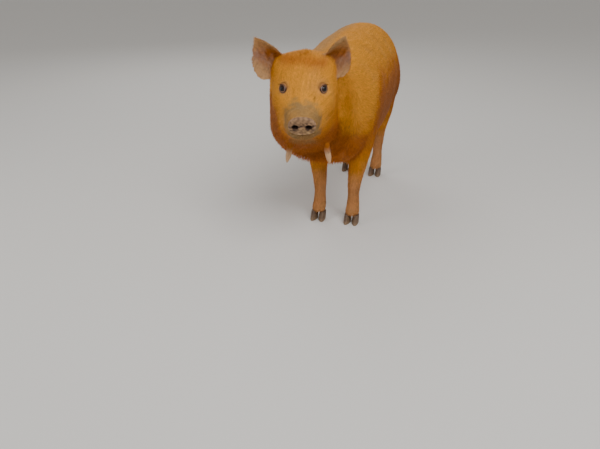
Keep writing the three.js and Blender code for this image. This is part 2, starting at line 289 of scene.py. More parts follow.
REGION_OF = {
    "head": "head",
    "muzzle": "muzzle",
    "lower_jaw": "muzzle",
    "snout_disc": "disc",
    "neck": "neck",
    "chest": "trunk",
    "barrel": "trunk",
    "rump": "rump",
    "tail": "tail",
}
REGION_OF |= {f"{part}_{side}": part for part in ("ear", "wattle") for side in SIDES}
REGION_OF |= {f"{leg}_{half}": f"{half}_leg" for leg in LEGS for half in ("upper", "lower")}


def nearest_nodes(points):
    """The name of the flesh node nearest to each point, by the middles and corners of its faces."""
    marks = []
    for name in FLESH:
        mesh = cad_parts[name].data
        marks += [(polygon.center, name) for polygon in mesh.polygons]
        marks += [(vertex.co, name) for vertex in mesh.vertices]
    tree = KDTree(len(marks))
    for i, (place, _) in enumerate(marks):
        tree.insert(place, i)
    tree.balance()
    return np.array([marks[tree.find(p)[1]][1] for p in points])


def region_shares(mesh, nodes):
    """How much each vertex belongs to each region, from 0 to 1, soft where two regions meet."""
    regions = sorted(set(REGION_OF.values()))
    hard = [[REGION_OF[n] == region for n in nodes] for region in regions]
    soft = spread(np.stack(hard, 1).astype(float), edges_of(mesh), 8)
    return dict(zip(regions, soft.T))


# Sculpting in the head's frame: q holds points in millimetres, n their normals there


def eye_axes(side):
    """An eye's middle, the way that its opening faces, and the ways along the opening and up it."""
    middle = EYE_MIDDLE * [side, 1, 1]
    out = unit(GAZE * [side, 1, 1])
    along = np.array([side * 0.78, 0.56, 0.30])
    along = unit(along - out * (along @ out))
    rise = np.cross(along, out)
    return middle, out, along, rise * math.copysign(1, rise[2])


def opening(away, along, rise):
    """How far out each point lies from an eye's opening, 1 on its edge, and if it is in its upper half."""
    u, t = away @ along / OPENING_WIDTH, away @ rise
    height = np.where(t > 0, *OPENING_HEIGHTS)
    return np.sqrt(u**2 + (t / height) ** 2 * (1 + 0.25 * u**2)), t > 0


def lids(q):
    """Moves the skin round each eye into two lids that lie on the eyeball and open on it."""
    for side in SIDES.values():
        middle, out, along, rise = eye_axes(side)
        away = q - middle
        shape, upper = opening(away, along, rise)
        flat = np.linalg.norm(away - np.outer(away @ out, out), axis=1)
        near = (flat < 28) & (away @ out > -6) & (np.linalg.norm(away, axis=1) < 36)
        # The lids over the eyeball: their edge, their fuller part, a crease, and nothing in the opening
        thick = 1.3 + 1.2 * bell(shape - 1.1, 0.13) * np.where(upper, 1.25, 0.8)
        thick += np.where(upper, 2.4, 1.0) * fade(shape, 1.2, 1.75)
        thick -= np.where(upper, 1.9, 0.9) * bell(shape - 1.42, 0.09)
        thick -= 4.6 * (1 - fade(shape, 0.95, 1.03))
        sphere = middle + unit(away) * (EYE_RADIUS + thick)[:, None]
        hold = (1 - fade(flat, 13.5, 22)) * near
        q = q + (sphere - q) * hold[:, None]
    return q


def face_forms(q, n):
    """How far the head's surface moves out for the brows, the cheeks and the folds round them."""
    x, y, z = np.abs(q[:, 0]), q[:, 1], q[:, 2]
    brow = 2.2 * bell(np.hypot(x - 40, y + 6), 17) * fade(z, 4, 16)
    beside_bridge = 2.0 * bell(x - 26, 9) * bell(y + 30, 17) * fade(z, -24, -10)
    behind = y - (68 + 8 * bell(z + 40, 40) + 0.06 * (z + 60))  # how far behind the cheek's fold
    cheek = fade(x, 46, 62) * fade(z, -128, -100) * (1 - fade(z, -12, 8))
    fold = 3.4 * bell(behind, 5.5) * cheek
    swell = 2.0 * bell(behind + 13, 9) * cheek
    second = fade(x, 40, 58) * fade(z, -118, -92) * (1 - fade(z, -48, -26))
    second_fold = 1.6 * bell(behind - 19, 5) * second
    between_eyes = 1 - fade(x, 30, 46)
    crease = bell(z - 38 - 0.12 * x, 3.2) * between_eyes * fade(n[:, 2] - n[:, 1], 0.2, 0.7)
    return brow - beside_bridge - fold + swell - second_fold - 0.9 * crease


def mouth_line(x, y):
    """The height of the line between the lips, by the distance from the middle and the place along."""
    return -73 + 9 * fade(y, -66, -34) - 2.5 * bell(x, 14)


NOSTRIL_MIDDLE = (15.5, 0.5)  # across and up in the snout's frame
NOSTRIL_LONGER = 1.25  # across than up


def from_nostril(s, side):
    """How far each point of the snout's frame lies from a nostril's middle, drawn in across."""
    across = (s[:, 0] - side * NOSTRIL_MIDDLE[0]) / NOSTRIL_LONGER
    return np.hypot(across, s[:, 2] - NOSTRIL_MIDDLE[1])


def mouth(q, n):
    """A line between the lips, from under the disc back along the cheeks, where it turns up."""
    x, y, z = np.abs(q[:, 0]), q[:, 1], q[:, 2]
    reach = (1 - fade(y, -40, -30)) * (1 - fade(n[:, 1], 0.3, 0.7))
    away = z - mouth_line(x, y)
    lips = -3.0 * bell(away, 1.5) + 1.3 * bell(away - 4.5, 3) + 0.7 * bell(away + 4, 3)
    return lips * reach


def snout(q, n):
    """The disc's rim, the groove behind it, the nostrils and the wrinkles over the snout."""
    s = to_snout(q)
    m = n @ SNOUT_AXES
    x, y, z = s.T
    across = np.sqrt((x / 32.5) ** 2 + (z / 23) ** 2)  # 1 about at the disc's rim
    side_wall = fade(np.hypot(m[:, 0], m[:, 2]), 0.45, 0.85)
    groove = -1.7 * bell(y - 1.0, 2.4) * side_wall * (across < 1.4)
    front = fade(-m[:, 1], 0.4, 0.8) * (y < -2)
    rim = 0.9 * bell(across - 0.92, 0.09) * front
    hollow = 1.1 * bell(across, 0.42) * front
    cleft = 0.8 * bell(x, 2.0) * front * fade(np.abs(z), 4, 12)
    shift = groove + rim - hollow - cleft
    top = fade(m[:, 2], -0.1, 0.5) * fade(y, 2, 7) * (1 - fade(y, 34, 52))
    bend = y + 0.009 * x * x - 2.0 * ripple(s * [1, 0, 1], 30, 3)
    for place, depth in ((7, 0.8), (15, 0.5), (28, 1.3)):
        shift -= depth * top * bell(bend - place, 2.0)
    q = q + n * shift[:, None]
    s = to_snout(q)
    for side in SIDES.values():
        away = from_nostril(s, side)
        pit = (1 - fade(away, 4.0, 6.2)) * front
        s[:, 1] += 11 * pit - 1.5 * bell(away - 7.4, 1.8) * front
    return from_snout(s)


def ear_forms(q, n, share):
    """Ridges in the hollow of each ear."""
    x, z = np.abs(q[:, 0]), q[:, 2]
    inner = fade(-n[:, 1], 0.1, 0.6) * share
    run = (x - 62) * 0.80 - (z - 20) * 0.42
    ridges = bell(run - 3, 3.0) + 0.8 * bell(run - 13, 3) + 0.5 * bell(run - 23, 3)
    return 2.6 * ridges * inner * (1 - fade(z, 62, 88)) * fade(z, -4, 14)


def body_folds(points):
    """Soft folds behind the elbow, before the thigh and at the throat, in metres of movement out."""
    x, y, z = to_body(points).T
    x = np.abs(x)
    thigh = fade(x, 60, 90) * fade(z, 170, 200) * (1 - fade(z, 290, 350))
    out = -3.5 * bell(y - 178 - 0.22 * (z - 230), 11) * thigh
    elbow = fade(x, 50, 80) * fade(z, 165, 190) * (1 - fade(z, 250, 320))
    out -= 3.0 * bell(y + 62 + 0.15 * (z - 220), 10) * elbow
    throat = (1 - fade(z, 290, 360)) * fade(z, 205, 225)
    out -= 1.6 * bell(y + 150 - 0.2 * (z - 250), 9) * throat * fade(x, 20, 60)
    spine = bell(x, 16) * fade(z, 440, 480) * (1 - fade(y, 240, 300))
    return (out - 0.8 * spine) * MM


# Skin


def swollen(mesh, move):
    """Moves each vertex out along its normal."""
    move = np.broadcast_to(move, len(mesh.vertices))[:, None]
    move_points(mesh, points_of(mesh) + normals_of(mesh) * move)
    return mesh


def joined_shape():
    """One smooth closed surface round all the flesh, with the ears, tail, wattles and disc kept fine."""
    overlap = 0.5 * MM
    socket_filling = 14.5 * MM
    body_voxel, part_voxel, skin_voxel = (v * MM for v in (4.0, 1.6, 2.4))
    bulk = flesh_of([n for n in FLESH if n not in FINE_FLESH], overlap)
    for side in SIDES:
        place = Matrix.Translation(Vector(middle_of(f"eye_{side}")))
        bmesh.ops.create_uvsphere(
            bulk, u_segments=24, v_segments=16, radius=socket_filling, matrix=place
        )
    body = remeshed(bulk, body_voxel)
    points = points_of(body)
    thin = 1 - fade(points[:, 2], 0.15, 0.27)
    facial = 1 - fade(to_head(points)[:, 1], 50, 120)
    relaxed(body, 40, 1 - 0.72 * np.maximum(thin, facial))
    whole = bmesh.new()
    whole.from_mesh(body)
    for name in FINE_FLESH:
        whole.from_mesh(relaxed(remeshed(flesh_of([name], overlap), part_voxel), 6))
    return relaxed(remeshed(whole, skin_voxel), 3)


FINER = ((26, 44, 64), (23, 3, 40))  # each round's reach from an eye, behind the disc and out from it


def finer_where_detailed(mesh):
    """Divides the skin where lids, nostrils, lips and wrinkles need it."""
    for step, (round_eye, behind_disc, round_nose) in enumerate(FINER):
        q = to_head(points_of(mesh))
        s = to_snout(q)
        nose = (s[:, 1] < behind_disc) & (np.hypot(s[:, 0], s[:, 2]) < round_nose)
        lips = (q[:, 1] < -28) & (np.abs(q[:, 2] + 71) < 12) & (step == 0)
        refined(mesh, (from_eye(q) < round_eye) | nose | lips)
        relaxed(mesh, 2, eyes_or_nose(to_head(points_of(mesh))))
    return mesh


def from_eye(q):
    """How far each head point lies from the nearer eye's middle."""
    middles = [EYE_MIDDLE * [side, 1, 1] for side in SIDES.values()]
    return np.minimum(*(np.linalg.norm(q - middle, axis=1) for middle in middles))


def eyes_or_nose(q):
    """1 near the eyes and the front of the head, where divided faces are evened out."""
    return np.maximum(1 - fade(from_eye(q), 22, 30), 1 - fade(q[:, 1], -60, -30))


# The coat's plan: how long and wide the tufts are (mm), how steep (degrees), how far apart and how
# deep over the skin (mm)

Coat = namedtuple("Coat", "length width lift spacing depth")
BARE = 60.0  # a spacing at which almost no tuft grows
COATS = {
    "trunk": Coat(12, 1.18, 19, 2.0, 2.8),
    "rump": Coat(13, 1.18, 20, 2.0, 3.0),
    "neck": Coat(12, 1.13, 20, 1.95, 2.8),
    "head": Coat(7.5, 0.75, 19, 1.38, 1.7),
    "muzzle": Coat(3.6, 0.5, 17, 1.3, 0.7),
    "disc": Coat(2, 0.4, 20, BARE, 0.0),
    "ear": Coat(6, 0.6, 18, 1.35, 0.6),
    "wattle": Coat(3.5, 0.35, 20, 4.5, 0.2),
    "tail": Coat(11, 0.8, 22, 1.35, 2.0),
    "upper_leg": Coat(10, 1.0, 18, 1.8, 2.4),
    "lower_leg": Coat(7.5, 0.75, 16, 1.4, 1.4),
}
FOREHEAD = Coat(8.5, 0.78, 20, 1.38, 2.0)
ROUND_EYE = Coat(3, 0.42, 12, 1.05, 0.5)
LID = Coat(1.5, 0.3, 12, BARE, 0.0)
BRIDGE = Coat(4.5, 0.55, 15, 1.25, 0.9)
CHIN = Coat(6.5, 0.5, 34, 1.6, 0.9)
THROAT = Coat(17, 0.95, 28, 1.85, 4.0)
BELLY = Coat(15, 1.0, 26, 2.1, 3.6)
POLL = Coat(17, 0.8, 38, 1.6, 2.6)
EAR_HOLLOW = Coat(8, 0.34, 22, 1.7, 0.5)
EAR_ROOT = Coat(10, 0.55, 26, 1.35, 1.4)
EAR_RIM = Coat(8.5, 0.42, 46, 1.0, 0.5)
FETLOCK = Coat(11, 0.7, 14, 1.25, 0.9)
TASSEL = Coat(30, 0.8, 24, 1.4, 3.0)
WATTLE_ROOT = Coat(8, 0.6, 20, 1.5, 0.5)

LIES = {
    "trunk": (0, 1, -0.26),
    "rump": (0, 0.75, -0.65),
    "neck": (0, 1, -0.4),
    "tail": (0, 0.15, -1),
    "wattle": (0, 0, -1),
    "upper_leg": (0, 0.4, -1),
    "lower_leg": (0, 0.12, -1),
}


def eye_reach(q):
    """How far out from the nearer eye's opening each head point lies, 1 on its edge."""
    far = 9.0
    nearest = np.full(len(q), far)
    for side in SIDES.values():
        middle, out, along, rise = eye_axes(side)
        away = q - middle
        shape, _ = opening(away, along, rise)
        beside = (away @ out < -4) | (np.linalg.norm(away, axis=1) > 40)
        nearest = np.minimum(nearest, np.where(beside, far, shape))
    return nearest


def eye_shares(q):
    """How much each head point is on the bare lids, and in the short hair round them."""
    reach = eye_reach(q)
    return 1 - fade(reach, 1.16, 1.34), 1 - fade(reach, 1.34, 2.4)


def across_ear(q):
    """How far each head point lies from an ear's upper edge towards its outer one, 0 to about 56."""
    return (np.abs(q[:, 0]) - 44) * 0.62 - (q[:, 2] - 46) * 0.6


def ear_shares(q, n, share):
    """How much of each point is in an ear's hollow, on its rim, and in the haired half by the head."""
    facing = n @ unit(np.array([0, -1.0, 0.1]))
    hollow = fade(facing, 0.35, 0.7) * share
    haired = 1 - fade(across_ear(q) + 6 * ripple(q, 22, 31), 10, 34)
    return hollow, (1 - fade(np.abs(facing), 0.2, 0.5)) * share, hollow * haired


def ear_way(side):
    """The way along an ear from its root to its tip, in the head's frame."""
    return np.stack([side * 0.5, side * 0 - 0.12, side * 0 + 0.85], -1)


class Places:
    """The skin's points in each frame, with the regions and the parts of the face that they are on."""

    def __init__(self, mesh, shares):
        self.points, self.normals, self.shares = points_of(mesh), normals_of(mesh), shares
        self.in_body = to_body(self.points)
        self.q, self.n = to_head(self.points), self.normals @ HEAD_AXES
        self.s = to_snout(self.q)
        self.head = shares["head"] + shares["muzzle"]
        self.body = shares["trunk"] + shares["rump"] + shares["neck"]
        self.hollow, self.rim, self.haired = ear_shares(self.q, self.n, shares["ear"])
        self.lid, self.near_eye = eye_shares(self.q)


def coat_plan(at):
    """The coat at each place, as columns in Coat's order."""
    shares = at.shares
    total = sum(shares.values())[:, None]
    plan = sum(shares[region][:, None] * np.array(coat) for region, coat in COATS.items()) / total
    x, y, z = at.q.T
    for mask, coat in (
        (at.head * fade(z, 0, 20), FOREHEAD),
        (at.head * (1 - fade(y, -52, -24)) * fade(z, -60, -30), BRIDGE),
        (shares["muzzle"] * (1 - fade(z, -84, -70)), CHIN),
        ((at.head + shares["neck"]) * (1 - fade(z, -128, -98)) * fade(y, -30, 0), THROAT),
        (at.body * (1 - fade(at.normals[:, 2], -0.8, -0.35)), BELLY),
        (at.head * bell(np.hypot(x - 4, y - 66), 17) * fade(z, 50, 60), POLL),
        (at.head * at.near_eye, ROUND_EYE),
        (at.head * at.lid, LID),
        (at.hollow, EAR_HOLLOW),
        (at.haired, EAR_ROOT),
        (at.rim, EAR_RIM),
        (shares["lower_leg"] * (1 - fade(at.points[:, 2] / MM, 34, 60)), FETLOCK),
        (shares["tail"] * (1 - fade(at.points[:, 2] - TAIL_TIP, 0.03, 0.06)), TASSEL),
        (shares["wattle"] * fade(z, -186, -170), WATTLE_ROOT),
    ):
        plan += (np.array(coat) - plan) * np.clip(mask, 0, 1)[:, None]
    return plan


def lie_of_coat(at):
    """The way that the hair grows at each place, along the body."""
    z = at.q[:, 2]
    side = np.sign(at.q[:, 0])
    back = np.ones_like(at.q)
    back[:, 0] = side * (0.12 + 0.25 * bell(z + 30, 40))
    back[:, 2] = 0.35 * fade(z, -20, 30) - 0.6 * (1 - fade(z, -90, -20))
    ear = ear_way(side) + at.n * [1, 0, 1] * at.rim[:, None] * 1.1
    head = (at.head + at.shares["disc"])[:, None]
    lie = (back * head + ear * at.shares["ear"][:, None]) @ HEAD_AXES.T
    for region, way in LIES.items():
        lie += at.shares[region][:, None] * unit(np.array(way, float))
    return unit(lie)


def marking(at):
    """Columns of the coat's markings from 0 to 1: gold, rust, bare skin and dried mud. Gold and rust are
    partly the coat's colour and partly painted light and painted shade.
    """
    points, shares = at.points, at.shares
    x, y, z = np.abs(at.in_body[:, 0]), at.in_body[:, 1], at.in_body[:, 2]
    qx, qy, qz = at.q.T
    head = at.head + shares["disc"]
    wave = 26 * ripple(points, 0.16, 5) + 12 * ripple(points, 0.05, 6)
    # The border rises towards the rear and on the outer flanks, partly as painted shade on the sides away
    # from the light.
    border = 195 + 110 * fade(y, -165, -95) + 45 * fade(y, 100, 400)  # height where rust ends
    border += 120 * fade(x, 72, 128) * fade(y, -210, -150)
    high = z + wave - border
    # Gold above the border is partly painted light on the upper body; rust below it is partly painted
    # shade.
    gold = at.body * fade(high, 10, 110) * (1 - 0.5 * fade(y, 150, 400))
    gold += head * fade(qz + 0.4 * wave, -118, -60)
    gold += 0.35 * (shares["upper_leg"] + shares["lower_leg"])
    rust = 0.92 * at.body * (1 - fade(high, -50, 60))
    rust += 0.8 * shares["upper_leg"] * fade(z + 0.5 * wave, 170, 290)
    # Rust under the jaw and down the throat: partly the coat's colour, partly painted shade under the
    # head.
    under = qz + 0.3 * wave + 45 * fade(np.abs(qx), 66, 104)
    rust += 0.9 * (head + shares["neck"]) * (1 - fade(under, -122, -88)) * fade(qy, -40, 10)
    # Rust on the jowls: partly their colour, partly painted shade, stronger on the right side, which lies
    # in shade.
    shaded_jowl = fade(np.abs(qx), 44, 66) * (1 - fade(qz, -62, -14)) * fade(qy, -46, -16)
    rust += np.where(qx < 0, 1.0, 0.4) * shaded_jowl * head
    top_band = bell(qz - 47 - 0.2 * wave, 14) * (1 - fade(np.abs(qx), 46, 70))
    rust += 0.8 * head * (top_band * fade(at.n[:, 2], -0.2, 0.3))
    rust += 0.4 * shares["tail"]
    rust += 0.45 * at.haired * (1 - fade(qz, 60, 90))
    hanging = shares["wattle"] * (1 - fade(qz + 0.3 * wave, -184, -162))
    rust += 0.7 * (shares["wattle"] - hanging)
    bare = (0.8 + 0.25 * ripple(points, 0.014, 15)) * (at.hollow - at.haired)
    bare += 0.5 * at.rim + shares["disc"] + hanging
    bare += head * (0.6 * at.lid + 0.15 * at.near_eye)
    bare += 0.42 * (shares["lower_leg"] + shares["upper_leg"] * (1 - fade(z, 100, 190)))
    grime = 20 * ripple(points, 0.026, 7) + 8 * ripple(points, 0.008, 8)
    back = 12 * fade(qz, -30, -12) + 22 * (1 - fade(qz, -92, -66))  # more on the bridge and the chin
    low = 1 - fade(qz + 0.3 * grime, -62, -34)  # on the disc it clings to the lower half
    mud = head - 0.15 * shares["disc"] * (2 - low)
    mud *= 1 - fade(qy - back + 0.4 * grime, -76, -52)
    under_chin = (1 - fade(np.abs(qx), 18, 44)) * (1 - fade(qz, -132, -112))
    mud += 0.7 * head * under_chin * (1 - fade(qy, -5, 25))
    mud += 0.35 * shares["lower_leg"] * fade(ripple(points, 0.02, 9) - z / 60, -1.2, 0.4)
    return np.clip(np.stack([gold, rust, bare, mud], 1), 0, 1)


def shading(at):
    """Columns from 0 to 1: each tuft's own tone and its length, which the coat fills in, and then
    how pale and how dark the coat and the skin are, painted shade and a painted highlight included."""
    points, shares, head, disc = at.points, at.shares, at.head, at.shares["disc"]
    bx, by, bz = at.in_body.T
    x, y, z = np.abs(at.q[:, 0]), at.q[:, 1], at.q[:, 2]
    _, behind_disc, up_snout = at.s.T
    # Pale hair along the right of the back, darkened there as painted shade.
    pale_shaded_back = at.body * fade(-bx, 0, 40) * fade(bz, 400, 470) * (1 - fade(by, 120, 330))
    ear_edge = fade(across_ear(at.q), 36, 54) + 1 - fade(across_ear(at.q), -2, 4)
    splashes = fade(ripple(points, 0.006, 14), 0.5, 1.2) * (up_snout < -20)
    dry_patches = fade(ripple(points, 0.014, 13), 0.0, 0.9) * (1 - fade(up_snout, -14, 2))
    pale = 0.8 * at.rim + 0.55 * shares["wattle"] * (1 - fade(z, -184, -162))
    pale += 0.5 * at.hollow * ear_edge
    # A painted highlight low in each ear's bare hollow.
    pale += 0.25 * (at.hollow - at.haired) * (1 - fade(z, 20, 60))
    pale += 0.7 * (at.hollow + at.rim) * fade(z, 58, 88)
    pale += 0.45 * head * fade(z + 4 * ripple(points, 0.03, 12), 60, 72)
    pale += 0.35 * pale_shaded_back
    pale += 0.5 * head * bell(behind_disc - 12, 14) * splashes
    pale += 0.55 * disc * dry_patches
    # Painted shade low on the outer flanks, behind the shoulders.
    shaded_low_flank = fade(np.abs(bx), 78, 124) * fade(by, -200, -110) * (1 - fade(bz, 290, 430))
    dark = 0.35 * pale_shaded_back + 0.35 * at.body * shaded_low_flank
    # Painted shade on the right jowl.
    dark += 0.15 * head * fade(-at.q[:, 0], 52, 72) * (1 - fade(z, -60, -20))
    # Painted shade in the nostrils' pits and in a ring round them, with a ragged outer edge.
    ring_wobble = 3 * ripple(points, 0.012, 16)
    for side in SIDES.values():
        away = from_nostril(at.s, side)
        nostril_shade = 1 - fade(away, 4.8, 7.2) + 0.35 * (1 - fade(away + ring_wobble, 7, 13))
        dark = np.maximum(dark, nostril_shade * (behind_disc < 3))
    reach = eye_reach(at.q)
    dark += head * (0.95 * bell(reach - 1.05, 0.16) + 0.3 * (1 - fade(reach, 1.15, 1.7)))
    # Painted shade under the brow, above each eye.
    dark += 0.55 * head * bell(reach - 1.55, 0.22) * fade(z, 1, 7)
    # A dark line along the mouth: painted shade in the crease between the lips.
    lips = (1 - fade(y, -42, -34)) * (1 - fade(at.n[:, 1], 0.3, 0.7))
    dark += 0.6 * bell(z - mouth_line(x, y), 1.8) * lips
    dark += 0.28 * disc * (1 + ripple(points, 0.009, 18))
    # Painted shade deep in each ear's hollow, by the head.
    dark += 0.5 * at.hollow * (1 - fade(z, 0, 50)) * (1 - fade(x, 64, 84))
    dark += 0.25 * at.hollow * fade(ripple(points, 0.011, 17), 0.2, 1.0)
    tear_spot = np.hypot(at.q[:, 0] - 26, (z + 9) / 1.5)
    dark += 0.6 * head * bell(tear_spot, 2.6) * (y < 0)
    blank = np.full(len(points), 0.5)
    return np.clip(np.stack([blank, blank, pale, dark], 1), 0, 1)


def build_skin():
    """The skin's mesh, with what the coat needs to know at each vertex."""
    mesh = finer_where_detailed(joined_shape())
    nodes = nearest_nodes(points_of(mesh))
    shares = region_shares(mesh, nodes)
    before = Places(mesh, shares)
    swollen(mesh, body_folds(before.points) * (shares["trunk"] + shares["neck"] + shares["rump"]))
    swollen(mesh, -coat_plan(before)[:, Coat._fields.index("depth")] * MM)
    q = to_head(points_of(mesh))
    face = np.clip(before.head + shares["disc"] + shares["neck"], 0, 1)

    def sculpt(moves, share):
        nonlocal q
        move_points(mesh, from_head(q))
        n = normals_of(mesh) @ HEAD_AXES
        q = q + n * (moves(q, n) * share)[:, None]

    sculpt(face_forms, face)
    sculpt(mouth, np.clip(before.head, 0, 1))
    sculpt(lambda q, n: ear_forms(q, n, shares["ear"]), 1)
    move_points(mesh, from_head(q))
    q = lids(snout(q, normals_of(mesh) @ HEAD_AXES))
    move_points(mesh, from_head(q))
    relaxed(mesh, 1, 0.5 * eyes_or_nose(q))
    return mesh, nodes, shares


def add_attribute(mesh, name, columns):
    """Keeps four values for each vertex, which the materials read by name."""
    layer = mesh.attributes.new(name, "FLOAT_COLOR", "POINT")
    layer.data.foreach_set("color", columns.astype(np.float32).ravel())


# Tufts. Each is a closed, pointed leaf that is widest and highest a little before its middle.

TUFT_FACES = np.array([[0, 1, 2], [0, 2, 3], [0, 3, 1], [4, 2, 1], [4, 3, 2], [4, 1, 3]])
PATCH = 0.003  # a tuft's patch on the bake's map
PATCH_PLACES = np.array([[0, -0.5], [-0.5, 0], [0.5, 0], [0, 0.1], [0, 0.5]])
WIDEST = 0.42  # the place along a tuft where it is widest
ALONG = np.array([0, WIDEST, WIDEST, WIDEST, 1.0])
TUFT_POINTS = len(ALONG)
STEEP = math.radians(33)  # the lift from which a tuft shows its underside, lit by its own faces


def tuft_points(t):
    """The corners of each tuft and the way that each corner is lit from, for arrays in metres."""
    way = unit(t.lie - t.normal * (t.lie * t.normal).sum(1)[:, None])
    across = np.cross(way, t.normal)
    rise, run = np.sin(t.lift)[:, None], np.cos(t.lift)[:, None]
    length, width = t.length[:, None], t.width[:, None]
    droop = 0.14  # of the tip, as a share of the length
    ridge = 0.3  # how high a tuft is and how deep its root goes, as a share of its width
    root = t.root - t.normal * ridge * width
    widest = t.root + (way * run + t.normal * rise) * length * WIDEST + t.pull * 0.3
    tip = t.root + (way * run + t.normal * (rise - droop)) * length + t.pull
    half = across * width * 0.5
    corners = [root, widest - half, widest + half, widest + t.normal * width * ridge, tip]
    tilt = 0.6  # how far the light turns over a tuft's sides and tip
    left, right, ahead = -across * tilt, across * tilt, way * tilt
    facing = [t.normal, t.normal + left, t.normal + right, t.normal, t.normal + ahead]
    facing = unit(np.stack(facing, 1))
    facing[t.lift > STEEP] = 0
    return np.stack(corners, 1), facing


Tufts = namedtuple("Tufts", "root normal lie length width lift pull marking shade spot")


def tuft_mesh(name, t):
    """A mesh of all the tufts, with their looks, the place along each, and the bake's map."""
    count = len(t.root)
    corners, facing = tuft_points(t)
    firsts = TUFT_POINTS * np.arange(count)
    faces = (TUFT_FACES[None] + firsts[:, None, None]).reshape(-1, 3)
    starts = np.arange(0, faces.size, 3, dtype=np.int32)
    mesh = bpy.data.meshes.new(name)
    mesh.vertices.add(count * TUFT_POINTS)
    mesh.vertices.foreach_set("co", corners.astype(np.float32).ravel())
    mesh.loops.add(faces.size)
    mesh.loops.foreach_set("vertex_index", faces.astype(np.int32).ravel())
    mesh.polygons.add(len(faces))
    mesh.polygons.foreach_set("loop_start", starts)
    mesh.polygons.foreach_set("use_smooth", np.ones(len(faces), bool))
    mesh.update(calc_edges=True)
    if name not in LOOSE:
        mesh.normals_split_custom_set_from_vertices(facing.reshape(-1, 3).astype(np.float32))
    add_attribute(mesh, "marking", np.repeat(t.marking, TUFT_POINTS, axis=0))
    shade = np.repeat(t.shade, TUFT_POINTS, axis=0)
    shade[:, 1] = np.tile(ALONG, count)
    add_attribute(mesh, "shade", shade)
    places = (t.spot[:, None, :] + PATCH * PATCH_PLACES[None]).reshape(-1, 2)
    layer = mesh.uv_layers.new(name="OFBake")
    layer.data.foreach_set("uv", places[faces.ravel()].astype(np.float32).ravel())
    return mesh


# Coat pieces: the nodes that each one covers, split by side where one would hold too many tufts. Its map
# unrolls each of its parts round a line: a point, the line's way and the way that the map's seam faces.

MOST_TRIANGLES = 199_000
HEAD_LINE = (HEAD_ORIGIN, HEAD_AXES[:, 1], -HEAD_AXES[:, 2])
BODY_AXIS = (BODY_LINE, np.array([0, 1.0, 0]), np.array([0, 0, -1.0]))


def line_of(node, way, seam):
    """The line round which a part is unrolled, through the middle of its node."""
    return (middle_of(node), unit(np.array(way, float)), unit(np.array(seam, float)))


def ear_line(side):
    """The line along an ear from its root to its tip."""
    way, seam = ear_way(SIDES[side]), np.array([-SIDES[side], 0, 0.3])
    return line_of(f"ear_{side}", HEAD_AXES @ way, HEAD_AXES @ seam)


def leg_parts(pair):
    """The nodes of each leg of a pair, with the line down it."""
    parts = []
    for side in SIDES:
        nodes = [f"{pair}_{side}_{half}" for half in ("upper", "lower")]
        parts.append((nodes, line_of(nodes[-1], (0, 0, 1), (0, 1, 0))))
    return parts


HEAD_NODES = ["head", "muzzle", "lower_jaw", "snout_disc", "wattle_left", "wattle_right"]
COAT_PIECES = {
    "coat_head": [(HEAD_NODES, HEAD_LINE)],
    "coat_ears": [([f"ear_{side}"], ear_line(side)) for side in SIDES],
    **{f"coat_{node}": [([node], BODY_AXIS)] for node in ("neck", "chest", "barrel", "rump")},
    "coat_tail": [(["tail"], line_of("tail", (0, 0, 1), (0, -1, 0)))],
    "coat_forelegs": leg_parts("foreleg"),
    "coat_hindlegs": leg_parts("hindleg"),
}
HALVED = ("coat_head", "coat_barrel", "coat_rump")
LOOSE = ("coat_ears", "coat_tail")  # seen from both sides, so each tuft is lit by its own faces


def unrolled(points, line, column, columns):
    """Places on the bake's map: across it round the line, up it along the line, in one column."""
    middle, way, seam = line
    away = points - middle
    third = np.cross(way, seam)
    turn = np.arctan2(away @ third, -(away @ seam)) / math.tau + 0.5
    along = away @ way
    up = (along - along.min()) / (along.max() - along.min())
    edge = 2 * PATCH
    u = (column + edge + turn * (1 - 2 * edge)) / columns
    return np.stack([u, edge + up * (1 - 2 * edge)], 1)


def triangles_of(mesh):
    """The three vertices of each triangle of a mesh."""
    mesh.calc_loop_triangles()
    return read(mesh.loop_triangles, "vertices", 3, np.int32)


def streaks(points, way, wavelength, step):
    """Random waves between about -1 and 1, drawn out into streaks along the way of the hair."""
    steps = range(-3, 4)
    waves = (ripple(points + way * step * i * MM, wavelength * MM, 41) for i in steps)
    return sum(waves) / (len(steps) / 2)


LONG_HAIRS = 0.06  # the share of tufts that are longer, thinner and steeper than the rest


def sown(spacing, areas, random):
    """Random places on triangles: each one's triangle, and the shares of the triangle's corners."""
    expected = areas / spacing**2
    counts = np.floor(expected + random.random(len(expected))).astype(int)
    chosen = np.repeat(np.arange(len(areas)), counts)
    u, v = random.random((2, len(chosen)))
    folded = u + v > 1
    u, v = np.where(folded, 1 - u, u), np.where(folded, 1 - v, v)
    return chosen, np.stack([1 - u - v, u, v], 1)


